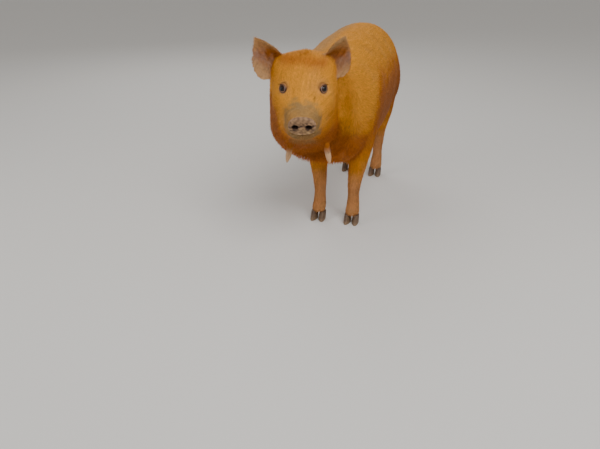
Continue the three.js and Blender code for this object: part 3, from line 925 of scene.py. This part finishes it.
def grow_coat(skin, coat):
    """Sows the tufts over the whole skin and returns them with the node that each one grows on."""
    random = np.random.default_rng(11)
    at, plan = skin.places, coat_plan(skin.places)
    lie = spread(lie_of_coat(at), edges_of(skin.mesh), 10)
    fields = np.concatenate([at.points, at.normals, lie, skin.marking, skin.shade, plan], 1)
    corners = triangles_of(skin.mesh)
    a, b, c = (at.points[corners[:, i]] for i in range(3))
    areas = np.linalg.norm(np.cross(b - a, c - a), axis=1) / 2 / MM**2
    thinner, wider = ((1.0, 1.0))
    spacing = plan[corners, Coat._fields.index("spacing")].mean(1) * thinner
    chosen, parts = sown(spacing / math.sqrt(coat.fullness), areas, random)
    on_tuft = (fields[corners[chosen]] * parts[:, :, None]).sum(1)
    root, normal, lie, marks, shade, plan = np.split(on_tuft, [3, 6, 9, 13, 17], axis=1)
    normal = unit(normal)
    count = len(root)
    plan = Coat(*plan.T)
    length, width = plan.length * MM * coat.length, plan.width * MM * coat.width
    long_hair = random.random(count) < LONG_HAIRS
    length = length * random.uniform(0.7, 1.12, count) * np.where(long_hair, 1.3, 1)
    width = width * wider * random.uniform(0.75, 1.2, count) * np.where(long_hair, 0.6, 1)
    lift = np.radians(plan.lift) * random.uniform(0.6, 1.35, count) + np.where(long_hair, 0.10, 0)
    swirl = np.stack([ripple(root, 0.05, 20 + i) for i in range(3)], 1)
    lie = unit(lie + 0.14 * swirl + random.normal(scale=0.12, size=lie.shape))
    # Tufts lean towards the middle of their lock and hang a little
    lock_size = np.maximum(0.6 * length, 3 * MM)[:, None]
    lock = (np.floor(root / lock_size + 0.3 * swirl) + 0.5) * lock_size
    pull = lock - root
    pull = (pull - normal * (pull * normal).sum(1)[:, None]) * 0.3
    pull[:, 2] -= length * 0.08
    streak = streaks(root, lie, 5, 2.5) + streaks(root, lie, 15, 7)
    shade[:, 0] = np.clip(0.5 + 0.6 * (random.random(count) - 0.5) + 0.2 * streak, 0, 1)
    spots = np.zeros((count, 2))
    tufts = Tufts(root, normal, lie, length, width, lift, pull, marks, shade, spots)
    lash = lashes(random)
    owner = np.concatenate([skin.nodes[corners[chosen, 0]], np.full(len(lash.root), "head")])
    return Tufts(*(np.concatenate(pair) for pair in zip(tufts, lash))), owner


LASHES = 22  # in each row


def picked(t, mask):
    """The tufts for which the mask is true."""
    return Tufts(*(column[mask] for column in t))


def lashes(random):
    """Two rows of lashes on each upper lid, longer towards its outer corner."""
    roots, lies, normals = [], [], []
    for side in SIDES.values():
        middle, out, along, rise = eye_axes(side)
        for row in range(2):
            for u in np.linspace(-0.3, 0.92, LASHES):
                t = OPENING_HEIGHTS[0] * math.sqrt(1 - u * u) * (1.04 + 0.08 * row)
                away = along * u * OPENING_WIDTH + rise * t
                depth = math.sqrt((EYE_RADIUS + 2.2) ** 2 - away @ away)
                roots.append(middle + away + out * depth)
                lies.append(unit(out * 0.6 + rise * 0.6 + along * u * 0.75))
                normals.append(rise)
    count = len(roots)
    outward = np.tile(np.linspace(0.55, 1.0, LASHES), count // LASHES)
    nothing = np.zeros((count, 3))
    return Tufts(
        root=from_head(np.array(roots)),
        normal=np.array(normals) @ HEAD_AXES.T,
        lie=np.array(lies) @ HEAD_AXES.T,
        length=random.uniform(6.5, 9.0, count) * outward * MM,
        width=np.full(count, 0.55 * MM),
        lift=np.full(count, math.radians(4)),
        pull=nothing,
        marking=np.tile([0, 1.0, 0, 0], (count, 1)),
        shade=np.tile([0.3, 0, 0, 0.85], (count, 1)),
        spot=nothing[:, :2],
    )


# Materials


class Nodes:
    """Adds shader nodes to a tree and joins them."""

    def __init__(self, tree):
        self.tree = tree

    def fill(self, node, inputs):
        """Gives a node's sockets, by name or number, a value or a link from another's output."""
        for socket, value in inputs.items():
            if isinstance(value, bpy.types.NodeSocket):
                self.tree.links.new(value, node.inputs[socket])
            else:
                node.inputs[socket].default_value = value
        return node

    def add(self, kind, inputs=None, **settings):
        """A node of a kind, with its settings and inputs."""
        node = self.tree.nodes.new("ShaderNode" + kind)
        for name, value in settings.items():
            setattr(node, name, value)
        return self.fill(node, inputs or {})

    def maths(self, operation, a, b=0.0, clamp=False):
        """The result of a sum on values that are numbers or outputs."""
        return self.add("Math", {0: a, 1: b}, operation=operation, use_clamp=clamp).outputs[0]

    def mixed(self, share, a, b, blend="MIX"):
        """Two colours mixed by a share. Each is an output or four numbers."""
        inputs = {0: share, 6: a, 7: b}
        return self.add("Mix", inputs, data_type="RGBA", blend_type=blend).outputs[2]

    def ramp(self, source, *stops):
        """A value or colour through stops of (place, grey or colour)."""
        node = self.add("ValToRGB", {"Fac": source})
        elements = node.color_ramp.elements
        while len(elements) < len(stops):
            elements.new(0.5)
        for element, (place, value) in zip(elements, stops):
            colour = value if hasattr(value, "__len__") else (value, value, value)
            element.position = place
            element.color = (*colour, 1)
        return node.outputs["Color"]

    def place(self):
        """The place on the object itself."""
        return self.add("TexCoord").outputs["Object"]

    def kept(self, name):
        """The four columns of an attribute that the mesh keeps."""
        attribute = self.add("Attribute", attribute_name=name)
        parts = self.add("SeparateColor", {"Color": attribute.outputs["Color"]})
        return [*parts.outputs, attribute.outputs["Alpha"]]


def new_group(name, inputs, output, kind):
    """A shader node group with named inputs and one output, with its two end nodes."""
    group = bpy.data.node_groups.new(name, "ShaderNodeTree")
    for socket, sort, value in inputs:
        made = group.interface.new_socket(socket, in_out="INPUT", socket_type="NodeSocket" + sort)
        made.default_value = value
    group.interface.new_socket(output, in_out="OUTPUT", socket_type="NodeSocket" + kind)
    return Nodes(group), group.nodes.new("NodeGroupInput"), group.nodes.new("NodeGroupOutput")


def markings_group():
    """Colour of skin and coat alike, from the mesh's markings, its painted light and shade, and a fine
    broken pattern.
    """
    chosen = bpy.context.scene.pig_colours
    names = PigColourSettings.__annotations__
    inputs = [(name.title(), "Color", (*getattr(chosen, name), 1)) for name in names]
    inputs.append(("Flecks", "Float", 0.5))
    nodes, start, end = new_group("Pig Markings", inputs, "Color", "Color")
    gold, rust, bare, mud = nodes.kept("marking")
    paleness, darkness = nodes.kept("shade")[2:]
    place = nodes.place()
    stretch = nodes.add("Mapping", {"Scale": (1.6, 0.5, 1.0), "Vector": place}).outputs[0]
    fleck = nodes.add("TexNoise", {"Scale": 190.0, "Detail": 3.0, "Vector": stretch})
    patch = nodes.add("TexNoise", {"Scale": 26.0, "Detail": 4.0, "Vector": place}).outputs["Fac"]
    uneven = nodes.maths("SUBTRACT", patch, 0.5)
    colour = start.outputs["Ginger"]
    for mark, scatter, most, layer in (
        (gold, 0.8, 1.0, "Gold"),
        (rust, 0.6, 1.0, "Rust"),
        (bare, 0.3, 0.95, "Bare"),
        (mud, None, 1.0, "Mud"),
        (paleness, 0.2, 1.0, "Pale"),
    ):
        if scatter is None:
            share = nodes.maths("MULTIPLY", mark, nodes.maths("ADD", patch, 0.4), clamp=True)
        else:
            shifted = nodes.maths("ADD", nodes.maths("MULTIPLY", uneven, scatter), mark)
            share = nodes.maths("MULTIPLY", shifted, most, clamp=True)
        colour = nodes.mixed(share, colour, start.outputs[layer])
    light = nodes.ramp(fleck.outputs["Fac"], (0.25, 0.62), (0.75, 1.25))
    flecked = nodes.mixed(start.outputs["Flecks"], (1, 1, 1, 1), light)
    colour = nodes.mixed(1.0, colour, flecked, "MULTIPLY")
    # Darker by the dark skin and by painted shade.
    colour = nodes.mixed(nodes.maths("MULTIPLY", darkness, 0.93), colour, start.outputs["Dark"])
    nodes.fill(end, {"Color": colour})
    return nodes.tree


def relief_group():
    """Height of fine wrinkles and grain, for a Bump node."""
    inputs = [("Scale", "Float", 400.0), ("Stretch", "Vector", (1.0, 1.0, 1.0))]
    nodes, start, end = new_group("Fine Relief", inputs, "Height", "Float")
    scale, stretch = start.outputs["Scale"], start.outputs["Stretch"]
    turned = nodes.add("Mapping", {"Vector": nodes.place(), "Scale": stretch}).outputs[0]
    noise = {"Detail": 5.0, "Roughness": 0.6, "Vector": turned, "Scale": scale}
    grain = nodes.add("TexNoise", noise).outputs["Fac"]
    cell_scale = nodes.maths("MULTIPLY", scale, 0.6)
    cells = nodes.add("TexVoronoi", {"Randomness": 1.0, "Vector": turned, "Scale": cell_scale})
    cell_height = nodes.maths("MULTIPLY", cells.outputs["Distance"], 0.7)
    nodes.fill(end, {"Height": nodes.maths("ADD", grain, cell_height)})
    return nodes.tree


def new_material(name):
    """A material with its nodes and its Principled shader."""
    material = bpy.data.materials.new(name)
    material.use_nodes = True
    return material, Nodes(material.node_tree), material.node_tree.nodes["Principled BSDF"]


def use_group(nodes, group, values):
    """The output of a node group that is put into a material with its own values."""
    node = nodes.tree.nodes.new("ShaderNodeGroup")
    node.node_tree = group
    return nodes.fill(node, values).outputs[0]


def bump(nodes, height, strength, distance):
    """The normal of a surface that is raised by a height."""
    inputs = {"Strength": strength, "Distance": distance, "Height": height}
    return nodes.add("Bump", inputs).outputs[0]


def skin_material(groups):
    """Haired skin, pink and damp where it is bare, dull where mud has dried."""
    _, nodes, shader = new_material("Pig Skin")
    _, _, bare, mud = nodes.kept("marking")
    damp = nodes.maths("MULTIPLY", bare, nodes.maths("SUBTRACT", 1.0, mud))
    relief = use_group(nodes, groups["relief"], {"Scale": 420.0})
    nodes.fill(shader, {
        "Base Color": use_group(nodes, groups["markings"], {"Flecks": 0.35}),
        "Roughness": nodes.ramp(damp, (0.0, 0.78), (1.0, 0.5)),
        "Normal": bump(nodes, relief, 0.6, 0.0012),
        "Specular IOR Level": 0.35,
    })


def coat_material(groups):
    """Bristly hair: each tuft has its own tone, and is darker at its root as painted shade down in the
    coat.
    """
    _, nodes, shader = new_material("Pig Coat")
    colour = use_group(nodes, groups["markings"], {"Flecks": 0.25})
    own_shade, along_tuft, _, _ = nodes.kept("shade")
    own = nodes.ramp(own_shade, (0.0, 0.66), (0.5, 0.98), (1.0, 1.26))
    # Darker towards each tuft's root: painted shade down in the coat.
    along = nodes.ramp(along_tuft, (0.0, 0.82), (0.5, 1.0), (1.0, 1.1))
    for light in (own, along):
        colour = nodes.mixed(1.0, colour, light, "MULTIPLY")
    nodes.fill(shader, {"Base Color": colour, "Roughness": 0.58, "Specular IOR Level": 0.08})


def horn_material(groups):
    """Dull dark horn with rings of growth, worn pale and scratched towards the sole."""
    _, nodes, shader = new_material("Pig Horn")
    height = nodes.add("SeparateXYZ", {"Vector": nodes.place()}).outputs["Z"]
    worn = nodes.ramp(
        nodes.maths("MULTIPLY", height, 30.0),
        (0.0, (0.24, 0.15, 0.08)),
        (0.35, (0.10, 0.052, 0.028)),
        (1.0, (0.055, 0.027, 0.015)),
    )
    relief = use_group(nodes, groups["relief"], {"Scale": 300.0, "Stretch": (1.0, 1.0, 0.25)})
    scratched = nodes.ramp(relief, (0.7, 0.0), (1.3, 0.3))
    rings = nodes.maths("SINE", nodes.maths("MULTIPLY", height, 2600.0))
    ringed = nodes.maths("ADD", relief, nodes.maths("MULTIPLY", rings, 0.3))
    nodes.fill(shader, {
        "Base Color": nodes.mixed(scratched, worn, (0.26, 0.17, 0.09, 1)),
        "Roughness": nodes.ramp(relief, (0.3, 0.42), (1.0, 0.62)),
        "Normal": bump(nodes, ringed, 0.5, 0.0008),
    })


def eye_material(side):
    """A wet eye: black pupil, brown iris with rays, a dark edge and a pinkish white beyond it."""
    material, nodes, shader = new_material(f"Pig Eye {side}")
    middle, look = tuple(middle_of(f"eye_{side}")), tuple(look_of(side))
    away = nodes.add("VectorMath", {0: nodes.place(), 1: middle}, operation="SUBTRACT").outputs[0]
    along = nodes.add("VectorMath", {0: away, 1: look}, operation="DOT_PRODUCT").outputs["Value"]
    angle = nodes.maths("ARCCOSINE", nodes.maths("DIVIDE", along, EYE_RADIUS * MM))
    rays = nodes.add("TexNoise", {"Scale": 900.0, "Detail": 3.0, "Vector": away}).outputs["Fac"]
    ragged = nodes.maths("MULTIPLY", nodes.maths("SUBTRACT", rays, 0.5), 0.06)
    colour = nodes.ramp(
        nodes.maths("ADD", angle, ragged),
        (0.0, (0.004, 0.003, 0.003)),
        (0.36, (0.004, 0.003, 0.003)),
        (0.41, (0.026, 0.012, 0.008)),
        (0.68, (0.040, 0.018, 0.010)),
        (0.75, (0.010, 0.006, 0.006)),
        (0.82, (0.30, 0.22, 0.21)),
        (0.98, (0.30, 0.18, 0.16)),
    )
    nodes.fill(shader, {
        "Base Color": colour,
        "Roughness": 0.10,
        "Specular IOR Level": 0.25,
        "Coat Weight": 0.15,
        "Coat Roughness": 0.03,
    })
    return material


def stage_material(colour):
    """The plain pale floor."""
    material, nodes, shader = new_material("Pale Floor")
    nodes.fill(shader, {"Base Color": (*colour, 1), "Roughness": 0.9})
    return material


# Settings


def colour(name, description, default):
    """A colour that a user can change."""
    return bpy.props.FloatVectorProperty(
        name=name, description=description, subtype="COLOR", size=3, default=default
    )


def number(name, description, default, **kind):
    """A number that a user can change, with its unit or subtype where it has one."""
    return bpy.props.FloatProperty(name=name, description=description, default=default, **kind)


class PigColourSettings(bpy.types.PropertyGroup):
    """The colours of the coat and the skin."""

    # Gold and Rust are partly painted light and painted shade; Dark also paints shade in pits, creases and
    # on shaded sides; Pale also paints a highlight in the ears.
    gold: colour("Gold", "The back, the flanks and the face", (0.76, 0.31, 0.030))
    ginger: colour("Ginger", "Hair with no other colour", (0.58, 0.19, 0.012))
    rust: colour("Rust", "The throat, the belly and low on the flanks", (0.43, 0.12, 0.012))
    bare: colour("Bare", "Skin with little hair", (0.44, 0.25, 0.18))
    mud: colour("Mud", "Dried mud on the snout and the legs", (0.32, 0.19, 0.07))
    pale: colour("Pale", "The ears' rims, the wattles and pale hairs", (0.74, 0.46, 0.21))
    dark: colour("Dark", "The lids' edges, the nostrils and other dark skin", (0.035, 0.016, 0.012))


class PigCoatSettings(bpy.types.PropertyGroup):
    """How the coat grows."""

    length: number("Length", "Length of the hair beside the usual", 1.0, subtype="FACTOR")
    width: number("Width", "Width of the tufts beside the usual", 1.0, subtype="FACTOR")
    fullness: number("Fullness", "Number of tufts beside the usual", 1.0, subtype="FACTOR")


class PigStageSettings(bpy.types.PropertyGroup):
    """The floor, the lamps and the camera."""

    floor: colour("Floor", "Colour of the floor", (0.72, 0.70, 0.67))
    daylight: number("Daylight", "Strength of the even light", 0.46)
    dimming: number("Dimming", "How much darker the backdrop looks", 0.3, subtype="FACTOR")
    key: number("Key", "Power of the main lamp", 48.0, unit="POWER")
    fill: number("Fill", "Power of the lamp on the shaded side", 8.0, unit="POWER")
    rim: number("Rim", "Power of the lamp behind", 14.0, unit="POWER")
    camera_place: bpy.props.FloatVectorProperty(
        name="Camera",
        description="Place of the camera",
        subtype="TRANSLATION",
        unit="LENGTH",
        default=(0.3594, -1.6470, 0.72),
    )
    camera_turn: number("Turn", "From +Y towards -X", math.radians(16), unit="ROTATION")
    camera_pitch: number("Pitch", "How far it looks down", math.radians(25.5), unit="ROTATION")
    lens: number("Lens", "Focal length in millimetres", 35.0)


# Operators


def materials():
    """The materials that more than one piece uses, made once."""
    if "Pig Skin" not in bpy.data.materials:
        groups = {"markings": markings_group(), "relief": relief_group()}
        skin_material(groups)
        coat_material(groups)
        horn_material(groups)
    return bpy.data.materials


LAMPS = (("key", (1.0, -1.4, 2.3), 1.6), ("fill", (-1.6, -1.3, 1.2), 1.2), ("rim", (-1.2, 1.9, 1.9), 1.4))


class PIG_OT_stage(bpy.types.Operator):
    """Makes the floor, the lamps and the camera."""

    bl_idname = "pig.stage"
    bl_label = "Stage"

    def execute(self, context):
        stage = context.scene.pig_stage
        mesh = bpy.data.meshes.new("floor")
        reach = 40.0
        corners = [(-reach, -reach, 0), (reach, -reach, 0), (reach, reach, 0), (-reach, reach, 0)]
        mesh.from_pydata(corners, [], [(0, 1, 2, 3)])
        mesh.materials.append(stage_material(stage.floor))
        floor = bpy.data.objects.new("floor", mesh)
        context.scene.collection.objects.link(floor)
        world = bpy.data.worlds.new("daylight")
        world.use_nodes = True
        nodes = Nodes(world.node_tree)
        seen = nodes.add("LightPath").outputs["Is Camera Ray"]
        dimmer = nodes.maths("SUBTRACT", 1.0, nodes.maths("MULTIPLY", seen, stage.dimming))
        strength = nodes.maths("MULTIPLY", dimmer, stage.daylight)
        background = world.node_tree.nodes["Background"]
        nodes.fill(background, {"Color": (1.0, 0.98, 0.95, 1), "Strength": strength})
        context.scene.world = world
        for name, place, size in LAMPS:
            self.lamp(context, name, place, size, getattr(stage, name))
        camera = bpy.data.objects.new("camera", bpy.data.cameras.new("camera"))
        camera.data.lens = stage.lens
        camera.data.sensor_width = 36.0
        camera.location = stage.camera_place
        camera.rotation_euler = (math.radians(90) - stage.camera_pitch, 0, stage.camera_turn)
        context.scene.collection.objects.link(camera)
        context.scene.camera = camera
        return {"FINISHED"}

    def lamp(self, context, name, place, size, power):
        """A soft square lamp that faces the middle of the pig."""
        lamp = bpy.data.objects.new(name, bpy.data.lights.new(name, "AREA"))
        lamp.data.size = size
        lamp.data.energy = power
        lamp.location = place
        aim = Vector(BODY_LINE) - Vector(place)
        lamp.rotation_euler = aim.to_track_quat("-Z", "Y").to_euler()
        context.scene.collection.objects.link(lamp)


Skin = namedtuple("Skin", "mesh nodes places marking shade")
GROWN = {}  # the skin once it is made, from which the coat grows


class PIG_OT_skin(bpy.types.Operator):
    """Makes the one skin that stands for all the flesh."""

    bl_idname = "pig.skin"
    bl_label = "Skin"

    def execute(self, context):
        mesh, nodes, shares = build_skin()
        mesh.name = "skin"
        at = Places(mesh, shares)
        skin = Skin(mesh, nodes, at, marking(at), shading(at))
        add_attribute(mesh, "marking", skin.marking)
        add_attribute(mesh, "shade", skin.shade)
        add_piece("skin", mesh, materials()["Pig Skin"], FLESH)
        GROWN["skin"] = skin
        return {"FINISHED"}


class PIG_OT_coat(bpy.types.Operator):
    """Grows the tufts of the coat, in one piece for each part of the body."""

    bl_idname = "pig.coat"
    bl_label = "Coat"

    def execute(self, context):
        tufts, owner = grow_coat(GROWN["skin"], context.scene.pig_coat)
        for name, parts in COAT_PIECES.items():
            spots = np.zeros((len(owner), 2))
            mine = np.zeros(len(owner), bool)
            for column, (covered, line) in enumerate(parts):
                part = np.isin(owner, covered)
                spots[part] = unrolled(tufts.root[part], line, column, len(parts))
                mine |= part
            t = picked(tufts._replace(spot=spots), mine)
            if name in HALVED:
                across = (to_head if name == "coat_head" else to_body)(t.root)[:, 0]
                self.piece(f"{name}_left", picked(t, across > 0))
                self.piece(f"{name}_right", picked(t, across <= 0))
            else:
                self.piece(name, t)
        return {"FINISHED"}

    def piece(self, name, t):
        """One piece of the coat."""
        triangles = len(t.root) * len(TUFT_FACES)
        if triangles > MOST_TRIANGLES:
            raise RuntimeError(f"{name} has {triangles} triangles, over {MOST_TRIANGLES}")
        add_piece(name, tuft_mesh(name, t), materials()["Pig Coat"])


class PIG_OT_eyes(bpy.types.Operator):
    """Makes the two eyeballs, each with a raised cornea."""

    bl_idname = "pig.eyes"
    bl_label = "Eyes"

    def execute(self, context):
        for side in SIDES:
            bm = bmesh.new()
            bmesh.ops.create_uvsphere(bm, u_segments=64, v_segments=40, radius=1)
            mesh = bpy.data.meshes.new(f"eyeball_{side}")
            bm.to_mesh(mesh)
            bm.free()
            way = unit(points_of(mesh))
            turn = np.arccos(np.clip(way @ look_of(side), -1, 1))
            across = np.clip(turn / CORNEA_REACH, 0, 1)
            radius = EYE_RADIUS + CORNEA_HEIGHT * np.cos(across * math.pi / 2) ** 1.5
            move_points(mesh, middle_of(f"eye_{side}") + way * radius[:, None] * MM)
            add_piece(f"eyeball_{side}", mesh, eye_material(side), [f"eye_{side}"])
        return {"FINISHED"}


class PIG_OT_claws(bpy.types.Operator):
    """Makes the horn of each claw and dewclaw."""

    bl_idname = "pig.claws"
    bl_label = "Claws"

    def execute(self, context):
        for name in CLAWS:
            mesh = relaxed(remeshed(flesh_of([name], 0.0), 1.1 * MM), 12)
            points = points_of(mesh)
            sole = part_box(name)[0][2]
            points[:, 2] = np.where(points[:, 2] < sole + 0.7 * MM, sole, points[:, 2])
            move_points(mesh, points)
            mesh.name = f"horn_{name}"
            add_piece(f"horn_{name}", mesh, materials()["Pig Horn"], [name])
        return {"FINISHED"}


class PIG_PT_panel(bpy.types.Panel):
    """Lists what the pig is made of."""

    bl_label = "Kunekune Pig"
    bl_idname = "PIG_PT_panel"
    bl_space_type = "VIEW_3D"
    bl_region_type = "UI"
    bl_category = "Pig"

    def draw(self, context):
        for settings in SETTINGS:
            group = getattr(context.scene, settings)
            box = self.layout.box()
            for name in group.__annotations__:
                box.prop(group, name)
        for step in STEPS:
            self.layout.operator(step.bl_idname)


STEPS = (PIG_OT_stage, PIG_OT_skin, PIG_OT_eyes, PIG_OT_claws, PIG_OT_coat)
SETTINGS = {
    "pig_coat": PigCoatSettings,
    "pig_colours": PigColourSettings,
    "pig_stage": PigStageSettings,
}
CLASSES = (*SETTINGS.values(), *STEPS, PIG_PT_panel)


def register():
    """Adds the add-on's classes and settings."""
    for cls in CLASSES:
        bpy.utils.register_class(cls)
    for name, cls in SETTINGS.items():
        setattr(bpy.types.Scene, name, bpy.props.PointerProperty(type=cls))


def unregister():
    """Removes the add-on's classes and settings."""
    for name in SETTINGS:
        delattr(bpy.types.Scene, name)
    for cls in reversed(CLASSES):
        bpy.utils.unregister_class(cls)


def main():
    """Makes the whole pig on its stage."""
    register()
    bpy.ops.pig.stage()
    bpy.ops.pig.skin()
    bpy.ops.pig.eyes()
    bpy.ops.pig.claws()
    bpy.ops.pig.coat()


if __name__ == "__main__":
    main()
